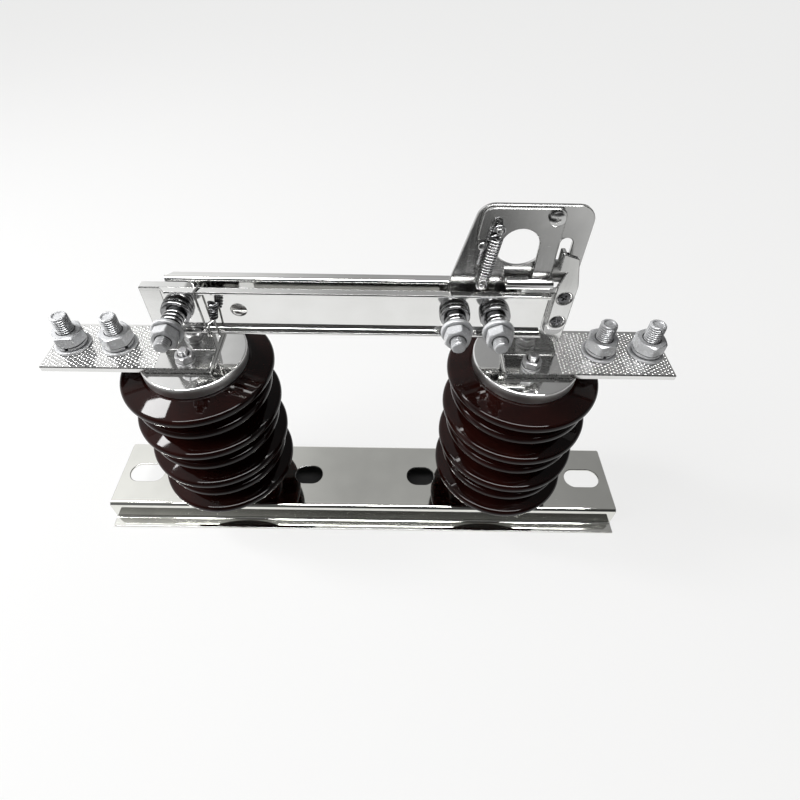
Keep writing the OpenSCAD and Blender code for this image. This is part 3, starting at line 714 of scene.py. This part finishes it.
def terminals(side):
    """Two terminal studs with their nuts, and a flat and a split washer under each nut."""
    studs, nuts, washers = ("terminal_" + what + "_" + side for what in ("studs", "nuts", "washers"))
    low_x, high_x = span(studs, 0)
    places = (low_x + corner_radius(STUD_FLATS), high_x - corner_radius(STUD_FLATS))
    foot, tip = span(studs, 2)
    nut_low, nut_top = span(nuts, 2)
    plate_top = span(washers, 2)[0]
    stud = joined(moved(hexagon(STUD_FLATS, STUD_HEAD_T), 0, 0, foot),
                  rod(STUD_R - SHANK_RELIEF, foot + HEAD_OVERLAP, nut_low, SHANK_EDGE),
                  threaded(STUD_R, nut_low, tip, STUD_PITCH, STUD_TIP, STUD_DISH))
    nut = hexagon(STUD_FLATS, nut_top - nut_low, STUD_R - STUD_NUT_GRIP)
    flat = ring(FLAT_WASHER_R, STUD_R, plate_top, plate_top + FLAT_WASHER_T, WASHER_EDGE)
    split = lock_washer(LOCK_WASHER_R, STUD_R + LOCK_PLAY, plate_top + FLAT_WASHER_T, nut_low)
    stud_parts, nut_parts, washer_parts = [], [], []
    for x, nut_turn, split_turn in zip(places, STUD_NUT_TURNS, LOCK_TURNS):
        stud_parts.append(moved(stud, x))
        nut_parts.append(moved(spun(nut, nut_turn), x, 0, nut_low))
        washer_parts.append(moved(joined(flat, spun(split, split_turn)), x))
    piece(studs + "_fine", joined(*stud_parts), "frame", zinc_steel, [studs], HEX_ANGLE)
    piece(nuts + "_fine", joined(*nut_parts), "frame", zinc_steel, [nuts], HEX_ANGLE)
    piece(washers + "_fine", joined(*washer_parts), "frame", zinc_steel, [washers])


PAD_INNER_X = 121.0
PAD_MARGIN = 1.6
DIMPLE_PITCH = 2.4
DIMPLE_R = 0.8
DIMPLE_H = 0.3
DIMPLE_SINK = 0.1
DIMPLE_ARC = (0.4, 0.8, 1.2)
DIMPLE_SIDES = 10


def dimples(side):
    """Pressed dots in staggered rows on a terminal pad."""
    contact = "hinge_contact" if side == "left" else "jaw_contact"
    outer = max(abs(v) for v in span(contact, 0)) - PAD_MARGIN
    half_w = span(contact, 1)[1] - PAD_MARGIN
    plate_top = span("terminal_washers_" + side, 2)[0]
    dome = [(DIMPLE_R * math.cos(a), DIMPLE_H * math.sin(a)) for a in DIMPLE_ARC]
    dot = lathe([(DIMPLE_R, -DIMPLE_SINK), (DIMPLE_R, 0)] + dome + [(0, DIMPLE_H)], DIMPLE_SIDES)
    row_gap = DIMPLE_PITCH * math.sqrt(3) / 2
    dots = []
    for row in range(int((outer - PAD_INNER_X) / row_gap) + 1):
        x = outer - row * row_gap
        y = -half_w + DIMPLE_PITCH / 2 * (row % 2)
        while y <= half_w:
            dots.append(moved(dot, SIDES[side] * x, y, plate_top))
            y += DIMPLE_PITCH
    piece("pad_dimples_" + side, joined(*dots), "frame", contact_copper, angle=DOT_ANGLE)


for side in SIDES:
    cap_fasteners(side)
    terminals(side)
    dimples(side)


# Cross bolts: local Z points to the front, so a place on the bolt is minus its Y

BOLT_R = 4.0
BOLT_HEAD_T = 5.28
BOLT_HEAD_TURN = 30
BOLT_PITCH = 1.25
BOLT_TIP = 1.0
CROSS_FLATS = 13.04
CROSS_NUT_GRIP = 0.15
HINGE_NUT_TURNS = (14,)
CLAMP_NUT_TURNS = (18, 27)
WASHER_R = 8.8
WASHER_T = 2.0
CUP_R = 8.6
CUP_T = 2.7
CUP_EDGE = 0.9
COLLAR_EDGE = 0.7
SPACER_EDGE = 0.2
SPRING_R = 6.3
SPRING_WIRE_R = 1.0
SPRING_PITCH = 3.0
SPRING_STEPS = 120
SPRING_SIDES = 16


def cross_bolt_shape(node, nut_low):
    tail, tip = front_span(node)
    head = moved(spun(hexagon(CROSS_FLATS, BOLT_HEAD_T), BOLT_HEAD_TURN), 0, 0, tail)
    shank = rod(BOLT_R, tail + HEAD_OVERLAP, nut_low, SHANK_EDGE)
    return joined(head, shank, threaded(BOLT_R, nut_low, tip, BOLT_PITCH, BOLT_TIP))


def cross_washers(node):
    """A washer behind the blades, and in front of them a washer with the spring's cup on it."""
    rear, cup_top = front_span(node)
    cup_low = cup_top - CUP_T
    front = cup_low - WASHER_T
    return joined(ring(WASHER_R, BOLT_R, rear, rear + WASHER_T, WASHER_EDGE),
                  ring(WASHER_R, BOLT_R, front, front + WASHER_T, WASHER_EDGE),
                  ring(CUP_R, BOLT_R, front + WASHER_T, cup_top, CUP_EDGE))


def clamp_spring(z0, z1):
    """An open coil from z0 to z1."""
    r = SPRING_R - SPRING_WIRE_R
    turns = (z1 - z0 - SPRING_WIRE_R) / SPRING_PITCH
    path = []
    for k in range(SPRING_STEPS + 1):
        t = k / SPRING_STEPS
        a = math.pi + 2 * math.pi * turns * t
        z = z0 + SPRING_WIRE_R + (z1 - z0 - 2 * SPRING_WIRE_R) * t
        path.append(Vector((r * math.cos(a), r * math.sin(a), z)))
    return swept(path, SPRING_WIRE_R, SPRING_SIDES)


def cross_bolt(names, xs, nut_turns, z):
    """Detailed bolt, washers, cup, spring, collar and nut at each place along X."""
    bolts, washers, spring, collar, nuts = names
    nut_low, nut_top = front_span(nuts)
    collar_shape = ring(WASHER_R, BOLT_R, *front_span(collar), COLLAR_EDGE)
    stack = {
        bolts: (cross_bolt_shape(bolts, nut_low), zinc_steel, HEX_ANGLE),
        washers: (cross_washers(washers), shaded_zinc_steel, SMOOTH_ANGLE),
        spring: (clamp_spring(*front_span(spring)), spring_steel, SMOOTH_ANGLE),
        collar: (collar_shape, zinc_steel, SMOOTH_ANGLE),
    }
    for node, (shape, finish, angle) in stack.items():
        places = [moved(to_front(shape), x, 0, z) for x in xs]
        piece(node + "_fine", joined(*places), "blade", finish, [node], angle)
    nut = hexagon(CROSS_FLATS, nut_top - nut_low, BOLT_R - CROSS_NUT_GRIP)
    places = [moved(to_front(spun(nut, turn)), x, -nut_low, z) for x, turn in zip(xs, nut_turns)]
    piece(nuts + "_fine", joined(*places), "blade", zinc_steel, [nuts], HEX_ANGLE)


axis_z = middle("hinge_bolt", 2)
clamp_low, clamp_high = span("clamp_nuts", 0)
clamp_xs = [clamp_low + CROSS_FLATS / 2, clamp_high - CROSS_FLATS / 2]
cross_bolt(["hinge_bolt", "hinge_washers", "hinge_spring", "hinge_collar", "hinge_nut"],
           [middle("hinge_bolt", 0)], HINGE_NUT_TURNS, axis_z)
cross_bolt(["clamp_bolts", "clamp_washers", "clamp_springs", "clamp_collars", "clamp_nuts"],
           clamp_xs, CLAMP_NUT_TURNS, axis_z)
spacer_r = half_span("blade_spacers", 2)
spacer = to_front(ring(spacer_r, BOLT_R, *front_span("blade_spacers"), SPACER_EDGE))
spacers = joined(*[moved(spacer, x, 0, axis_z) for x in clamp_xs])
piece("blade_spacers_fine", spacers, "blade", latch_steel, ["blade_spacers"])


# Latch pins: the groove's shoulder, neck and lip are measured back from the pin's end

PIN_FOOT_EDGE = 0.1
PIN_DOME_R = 0.6
PIN_EDGE_STEPS = 4
PIN_SIDES = 40
GROOVE_DEPTH = 0.35
GROOVE_EDGE_R = 0.3
GROOVE_LIP_R = 0.2
GROOVE_PLACES = (2.6, 2.2, 1.2, 0.9)


def pin(node, body, groove=True):
    """A pin towards the front with a domed end, and a groove where a spring's eye hangs on it."""
    start, end = front_span(node)
    r = half_span(node, 0)
    outline = [(0, start, 0), (r, start, PIN_FOOT_EDGE)]
    if groove:
        neck_r = r - GROOVE_DEPTH
        shoulder, neck_start, neck_end, lip = (end - d for d in GROOVE_PLACES)
        outline += [(r, shoulder, GROOVE_EDGE_R), (neck_r, neck_start, GROOVE_EDGE_R),
                    (neck_r, neck_end, GROOVE_EDGE_R), (r, lip, GROOVE_LIP_R)]
    outline += [(r, end, PIN_DOME_R), (0, end, 0)]
    shape = to_front(lathe(rounded(outline, PIN_EDGE_STEPS), PIN_SIDES))
    piece(node + "_fine", moved(shape, middle(node, 0), 0, middle(node, 2)), body, latch_steel, [node])


pin("spring_anchor", "blade")
pin("spring_post", "lever")
pin("lever_stop", "blade", groove=False)


# Latch screws

PIVOT_R = 2.0
PIVOT_EDGE = 0.3
PIVOT_HEAD_T = 2.6
PIVOT_TURN = 28
PIVOT_RECESS = {"bulge": 0.9, "arm": 1.4, "width": 0.45, "depth": 0.8}
CATCH_HEAD_R = 4.0
CATCH_FACE_R = 3.2
CATCH_FACE_T = 0.9
CATCH_SINK = 0.1
CATCH_SHANK_R = 2.5
CATCH_SHANK_EDGE = 0.2
CATCH_RECESS = {"bulge": 0.35, "arm": 2.1, "width": 0.5, "depth": 1.1}
CATCH_TURNS = (15, 62)
# A ring under each catch screw's head paints the shade of the countersink: its play, overlap, drop and
# edge (mm)
SHADE_RING_PLAY = 0.1
SHADE_RING_OVERLAP = 0.2
SHADE_RING_DROP = (0.3, 0.05)
SHADE_RING_EDGE = 0.05


def lever_pivot():
    """A pan-head screw that the lever turns on."""
    start, end = front_span("lever_pivot")
    head = recessed_head(half_span("lever_pivot", 0), PIVOT_HEAD_T, **PIVOT_RECESS)
    screw = joined(rod(PIVOT_R, start, end - HEAD_OVERLAP, PIVOT_EDGE),
                   moved(spun(head, PIVOT_TURN), 0, 0, end - PIVOT_HEAD_T))
    screw = moved(to_front(screw), middle("lever_pivot", 0), 0, middle("lever_pivot", 2))
    piece("lever_pivot_fine", screw, "blade", latch_steel, ["lever_pivot"])


def catch_screw(start, end, turn):
    """A screw sitting a little deep, with a near-black ring under its head as painted countersink shade.
    """
    seat = end - CATCH_FACE_T
    shade_ring_low, shade_ring_top = (seat - drop for drop in SHADE_RING_DROP)
    shank = rod(CATCH_SHANK_R, start, seat, CATCH_SHANK_EDGE)
    shade_ring = ring(CATCH_HEAD_R - SHADE_RING_PLAY, CATCH_SHANK_R - SHADE_RING_OVERLAP, shade_ring_low, shade_ring_top,
                  SHADE_RING_EDGE)
    head = recessed_head(CATCH_FACE_R, CATCH_FACE_T, **CATCH_RECESS)
    return to_front(joined(shank, shade_ring, moved(spun(head, turn), 0, 0, seat - CATCH_SINK)))


def catch_screws():
    """The lower screw is as long as the node is deep, and the upper one ends in the spacer."""
    x = middle("catch_screws", 0)
    start, end = front_span("catch_screws")
    low, top = span("catch_screws", 2)
    upper_start = front_span("catch_spacer")[0] + CATCH_SINK
    lower = moved(catch_screw(start, end, CATCH_TURNS[0]), x, 0, low + CATCH_HEAD_R)
    upper = moved(catch_screw(upper_start, end, CATCH_TURNS[1]), x, 0, top - CATCH_HEAD_R)
    piece("catch_screws_fine", joined(lower, upper), "frame", near_black_steel, ["catch_screws"])


lever_pivot()
catch_screws()


# Latch tube and tension spring

TUBE_WALL = 0.9
TUBE_EDGE = 0.25
PULL_SPRING_R = 3.3
PULL_WIRE_R = 0.6
PULL_TURNS = 15
PULL_STEPS = 20
EYE_RING_R = 2.6
EYE_TURN = 290
EYE_STEP = 10
EYE_STEM = 1.6


def latch_tube():
    r = half_span("latch_tube", 2)
    tube = to_right(ring(r, r - TUBE_WALL, *span("latch_tube", 0), TUBE_EDGE))
    tube = moved(tube, 0, span("latch_tube", 1)[0] + r, middle("latch_tube", 2))
    piece("latch_tube_fine", tube, "lever", latch_steel, ["latch_tube"])


def pull_spring_path(length):
    """Places (aside, deep, along) on a spring that starts and ends with an open eye."""
    coil_r = PULL_SPRING_R - PULL_WIRE_R
    stem = EYE_RING_R + EYE_STEM
    eye = [math.radians(d) for d in range(0, EYE_TURN + 1, EYE_STEP)]
    places = [(EYE_RING_R * math.sin(a), 0, EYE_RING_R * math.cos(a)) for a in reversed(eye)]
    for k in range(PULL_TURNS * PULL_STEPS + 1):
        t = k / (PULL_TURNS * PULL_STEPS)
        a = math.pi + 2 * math.pi * PULL_TURNS * t
        places.append((coil_r * math.cos(a), coil_r * math.sin(a), stem + (length - 2 * stem) * t))
    return places + [(EYE_RING_R * math.sin(a), 0, length - EYE_RING_R * math.cos(a)) for a in eye]


def latch_spring():
    """Tension spring between its two pins."""
    y = middle("latch_spring", 1)
    anchor = Vector((middle("spring_anchor", 0), y, middle("spring_anchor", 2)))
    post = Vector((middle("spring_post", 0), y, middle("spring_post", 2)))
    axis = post - anchor
    along = axis.normalized()
    aside = Vector((along.z, 0, -along.x))
    deep = Vector((0, 1, 0))
    path = [anchor + q[0] * aside + q[1] * deep + q[2] * along for q in pull_spring_path(axis.length)]
    made = piece("latch_spring_fine", swept(path, PULL_WIRE_R), None, spring_steel, ["latch_spring"])
    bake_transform(made)


latch_tube()
latch_spring()


# Tie wire on the front blade beside the hinge: taut strands with their ends twisted into a knot in
# front. They end above and below the web, clear of the hinge fin when the blade opens.

TIE_R = 0.6
TIE_SIDES = 10
TIE_CLEAR = 0.05
TIE_END_CLEAR = 0.1
TIE_GAP = TIE_R + TIE_CLEAR
TIE_END_GAP = TIE_R + TIE_END_CLEAR
TIE_BEND = 0.7
TIE_BEND_CUT = 0.2
blade_out = span("front_blade", 1)[0] - TIE_GAP
tie_end = span("front_blade", 1)[1] - TIE_END_GAP
tie_low = span("front_blade", 2)[0] - TIE_GAP
tie_top = span("front_blade", 2)[1] + TIE_GAP
TWIST_LOW = Vector((-80.6, blade_out - 0.9, 202.0))
TWIST_TOP = Vector((-78.2, blade_out - 1.8, 214.5))
TWIST_TURNS = 3.0
TWIST_R = (1.6, 2.2)
TWIST_DEPTH = 0.55
TWIST_START = 0.4
TWIST_STEPS = 90
KNOT_WIRE_R = 0.8
first_strand = [TWIST_LOW, (-80.7, blade_out, tie_low), (-81.6, tie_end, tie_low)]
second_strand = [(-86.4, tie_end, tie_top), (-88.0, blade_out, tie_top), (-87.0, blade_out, tie_low),
                 (-86.2, blade_out + 2.5, tie_low), (-85.6, blade_out, tie_low),
                 (-85.2, blade_out - 0.5, 197.6), TWIST_LOW]


def taut(corners):
    """A path of straight runs, each corner taken in a short bend."""
    points = [Vector(c) for c in corners]
    path = [points[0]]
    for before, corner, after in zip(points, points[1:], points[2:]):
        back = TIE_BEND * (before - corner).normalized()
        on = TIE_BEND * (after - corner).normalized()
        path += [corner + back, corner + TIE_BEND_CUT * (back + on), corner + on]
    return path + [points[-1]]


def twist(phase):
    """One of the two twisted wire ends, looser towards its tip."""
    along = (TWIST_TOP - TWIST_LOW).normalized()
    aside = Vector((1, 0, 0)) - along.x * along
    aside.normalize()
    deep = along.cross(aside)
    path = []
    for k in range(TWIST_STEPS + 1):
        t = k / TWIST_STEPS
        a = 2 * math.pi * TWIST_TURNS * t + phase
        r = TWIST_R[0] + (TWIST_R[1] - TWIST_R[0]) * t
        sideways = r * math.cos(a) * aside
        inward = TWIST_DEPTH * r * math.sin(a) * deep
        path.append(TWIST_LOW.lerp(TWIST_TOP, t) + sideways + inward)
    return path


def wires(paths, r):
    return joined(*[swept(path, r, TIE_SIDES) for path in paths])


strands = [taut(first_strand), taut(second_strand)]
piece("tie_wire", wires(strands, TIE_R), "blade", wire_steel)
knot = [twist(TWIST_START), twist(math.pi + TWIST_START)]
piece("tie_knot", wires(knot, KNOT_WIRE_R), "blade", knot_steel)


# Studio floor and grey card, in metres

FLOOR_HALF = 30.0
FLOOR_LEVEL = -0.0003
FLOOR_DARK = (0.04, 0.04, 0.04)
FLOOR_PALE = (0.88, 0.88, 0.88)
FLOOR_WHITE = (0.955, 0.955, 0.95, 1)
FLOOR_GLOW = 0.85
FLOOR_MOTTLE_SCALE = 3
FLOOR_MOTTLE = -0.03
# How much darker the floor is for the light that it sends back to the switch
FLOOR_HUSH = 0.90
UNDER_BASE_X = (0.13, 0.15)
UNDER_BASE_Y = (0.024, 0.030)
CARD_X = (-0.70, 0.45)
CARD_Y = (-1.10, -0.290)
CARD_FADE_X = (0.12, 0.32)
CARD_DARK = (0.02, 0.02, 0.02)
CARD_LIGHT = (0.80, 0.80, 0.79)
CARD_MOTTLE_SCALE = 4
CARD_MOTTLE = (-0.04, 0.04)


def stage_sheet(name, across, deep, level, material):
    """A level rectangle between two places across and two places deep."""
    (left, right), (near, far) = across, deep
    mesh = bpy.data.meshes.new(name)
    corners = [(left, near, level), (right, near, level), (right, far, level), (left, far, level)]
    mesh.from_pydata(corners, [], [(0, 1, 2, 3)])
    mesh.materials.append(material)
    made = bpy.data.objects.new(name, mesh)
    scene.collection.objects.link(made)
    return made


def open_floor(look):
    """One on the open floor, and none under the middle of the base, where a painted shadow darkens it."""
    axes = look.node("SeparateXYZ", Vector=look.coords)
    limits = []
    for axis, (inner, outer) in (("X", UNDER_BASE_X), ("Y", UNDER_BASE_Y)):
        size = look.calc("ABSOLUTE", axes.outputs[axis])
        limits.append(look.ranged(size, inner, outer, 0.0, 1.0))
    return look.calc("MAXIMUM", *limits)


def studio_floor():
    """Pale paper that is nearly white to the camera and in mirrors, and still takes shadows."""
    look = Look("floor_paper")
    ray = look.node("LightPath").outputs
    is_open = open_floor(look)
    shade = look.calc("ADD", is_open, look.uneven(look.noise(FLOOR_MOTTLE_SCALE), FLOOR_MOTTLE, 0.0))
    shade = look.calc("ADD", shade, look.ranged(ray["Is Diffuse Ray"], 0.0, 1.0, 0.0, -FLOOR_HUSH))
    look.set(Base_Color=look.colours(shade, 0.0, FLOOR_DARK, 1.0, FLOOR_PALE), Roughness=0.9)
    mirrored = look.calc("MAXIMUM", ray["Is Glossy Ray"], ray["Is Transmission Ray"])
    seen = look.calc("MAXIMUM", ray["Is Camera Ray"], mirrored)
    share = look.calc("MULTIPLY", seen, look.ranged(is_open, 0.0, 1.0, 0.0, FLOOR_GLOW))
    glow = look.node("Emission", Color=FLOOR_WHITE, Strength=1.0)
    look.surface(look.mix(share, look.shader.outputs["BSDF"], glow.outputs["Emission"]))
    reach = (-FLOOR_HALF, FLOOR_HALF)
    floor = stage_sheet("floor", reach, reach, FLOOR_LEVEL, look.material)


def grey_card():
    """A grey card on the floor in front, lighter to the right, which only reflections show."""
    look = Look("card_paper")
    axes = look.node("SeparateXYZ", Vector=look.coords)
    across = look.ranged(axes.outputs["X"], *CARD_FADE_X, 0.0, 1.0)
    shade = look.calc("ADD", across, look.uneven(look.noise(CARD_MOTTLE_SCALE), *CARD_MOTTLE))
    colour = look.colours(shade, 0.0, CARD_DARK, 1.0, CARD_LIGHT)
    glow = look.node("Emission", Color=colour, Strength=1.0)
    look.surface(glow.outputs["Emission"])
    card = stage_sheet("grey_card", CARD_X, CARD_Y, 0, look.material)
    card.visible_camera = False
    card.visible_diffuse = False
    card.visible_shadow = False


# Studio light. Each side of the room that metal reflects: two places along a direction's axis, and
# the brightness at each
LEFT_SIDE = (-0.5, -0.02, 1.06, 0.40)
RIGHT_SIDE = (0.0, 0.5, 1.0, 0.68)
CAMERA_SIDE = (-0.62, -0.05, 0.14, 1.0)
ROOM_LIGHT = 0.10
WHITE = (1.0, 1.0, 1.0, 1)
# As bright as the far floor, so that no horizon shows
SKY = (0.835, 0.835, 0.83, 1)
LAMPS_LOOK_AT = Vector((0, 0, 0.12))


def world_light():
    """White behind everything, soft light all round, and a room with a bright left side in mirrors."""
    world = bpy.data.worlds.new("studio")
    scene.world = world
    world.use_nodes = True
    world.node_tree.nodes.clear()
    room = Graph(world.node_tree)
    axes = room.node("SeparateXYZ", Vector=room.node("TexCoord").outputs["Generated"])
    from_left = room.ranged(axes.outputs["X"], *LEFT_SIDE, "SMOOTHSTEP")
    from_right = room.ranged(axes.outputs["X"], *RIGHT_SIDE, "SMOOTHSTEP")
    behind_camera = room.ranged(axes.outputs["Y"], *CAMERA_SIDE, "SMOOTHSTEP")
    sideways = room.calc("MULTIPLY", from_left, from_right)
    brightness = room.calc("MULTIPLY", sideways, behind_camera)
    reflected = room.node("Background", Color=brightness, Strength=1.0)
    around = room.node("Background", Color=WHITE, Strength=ROOM_LIGHT)
    sky = room.node("Background", Color=SKY, Strength=1.0)
    ray = room.node("LightPath").outputs
    seen = room.calc("MAXIMUM", ray["Is Camera Ray"], ray["Is Transmission Ray"])
    lit = room.mix(ray["Is Glossy Ray"], around.outputs["Background"], reflected.outputs["Background"])
    room.node("OutputWorld", Surface=room.mix(seen, lit, sky.outputs["Background"]))


def softbox(name, towards, distance, width, height, radiance, mirrored, lights=True):
    """An area lamp that looks at the middle of the switch. Radiance is what a mirror would show."""
    light = bpy.data.lights.new(name, "AREA")
    light.shape = "RECTANGLE"
    light.size, light.size_y = width, height
    light.energy = radiance * math.pi * width * height
    lamp = bpy.data.objects.new(name, light)
    scene.collection.objects.link(lamp)
    direction = Vector(towards).normalized()
    lamp.location = direction * distance + LAMPS_LOOK_AT
    lamp.rotation_euler = direction.to_track_quat("Z", "Y").to_euler()
    lamp.visible_camera = False
    lamp.visible_glossy = mirrored
    lamp.visible_diffuse = lights


# The photograph's camera: place in metres, angles in degrees, focal length and middle in pixels
FRAME_PX = 800
CAMERA_AT = (0.0179, -0.2283, 0.3972)
PITCH, YAW, ROLL = 45.078, 0.128, 0.917
FOCAL_PX = 517.2
MIDDLE_PX = (389.05, 349.74)
SENSOR_MM = 36


def photo_camera():
    data = bpy.data.cameras.new("camera")
    data.sensor_width = SENSOR_MM
    data.lens = FOCAL_PX / FRAME_PX * data.sensor_width
    data.shift_x = (FRAME_PX / 2 - MIDDLE_PX[0]) / FRAME_PX
    data.shift_y = (MIDDLE_PX[1] - FRAME_PX / 2) / FRAME_PX
    data.clip_start = 0.01
    pitch, yaw, roll = (math.radians(a) for a in (PITCH, YAW, ROLL))
    forward = Vector((math.sin(yaw) * math.cos(pitch), math.cos(yaw) * math.cos(pitch), -math.sin(pitch)))
    level = Vector((math.cos(yaw), -math.sin(yaw), 0))
    upright = level.cross(forward)
    right = math.cos(roll) * level + math.sin(roll) * upright
    up = -math.sin(roll) * level + math.cos(roll) * upright
    camera = bpy.data.objects.new("camera", data)
    scene.collection.objects.link(camera)
    turn = Matrix((right, up, -forward)).transposed()
    camera.matrix_world = Matrix.Translation(CAMERA_AT) @ turn.to_4x4()
    scene.camera = camera


studio_floor()
grey_card()
world_light()
softbox("key", towards=(-0.80, -0.10, 0.58), distance=1.2, width=0.80, height=0.80, radiance=9.0,
        mirrored=False)
softbox("window", towards=(-0.62, 0.10, 0.78), distance=1.15, width=0.14, height=0.26, radiance=50.0,
        mirrored=True)
softbox("strip", towards=(0.0, -0.30, 1.0), distance=1.2, width=1.3, height=0.26, radiance=25.0,
        mirrored=True, lights=False)
photo_camera()
scene.view_settings.view_transform = "Standard"
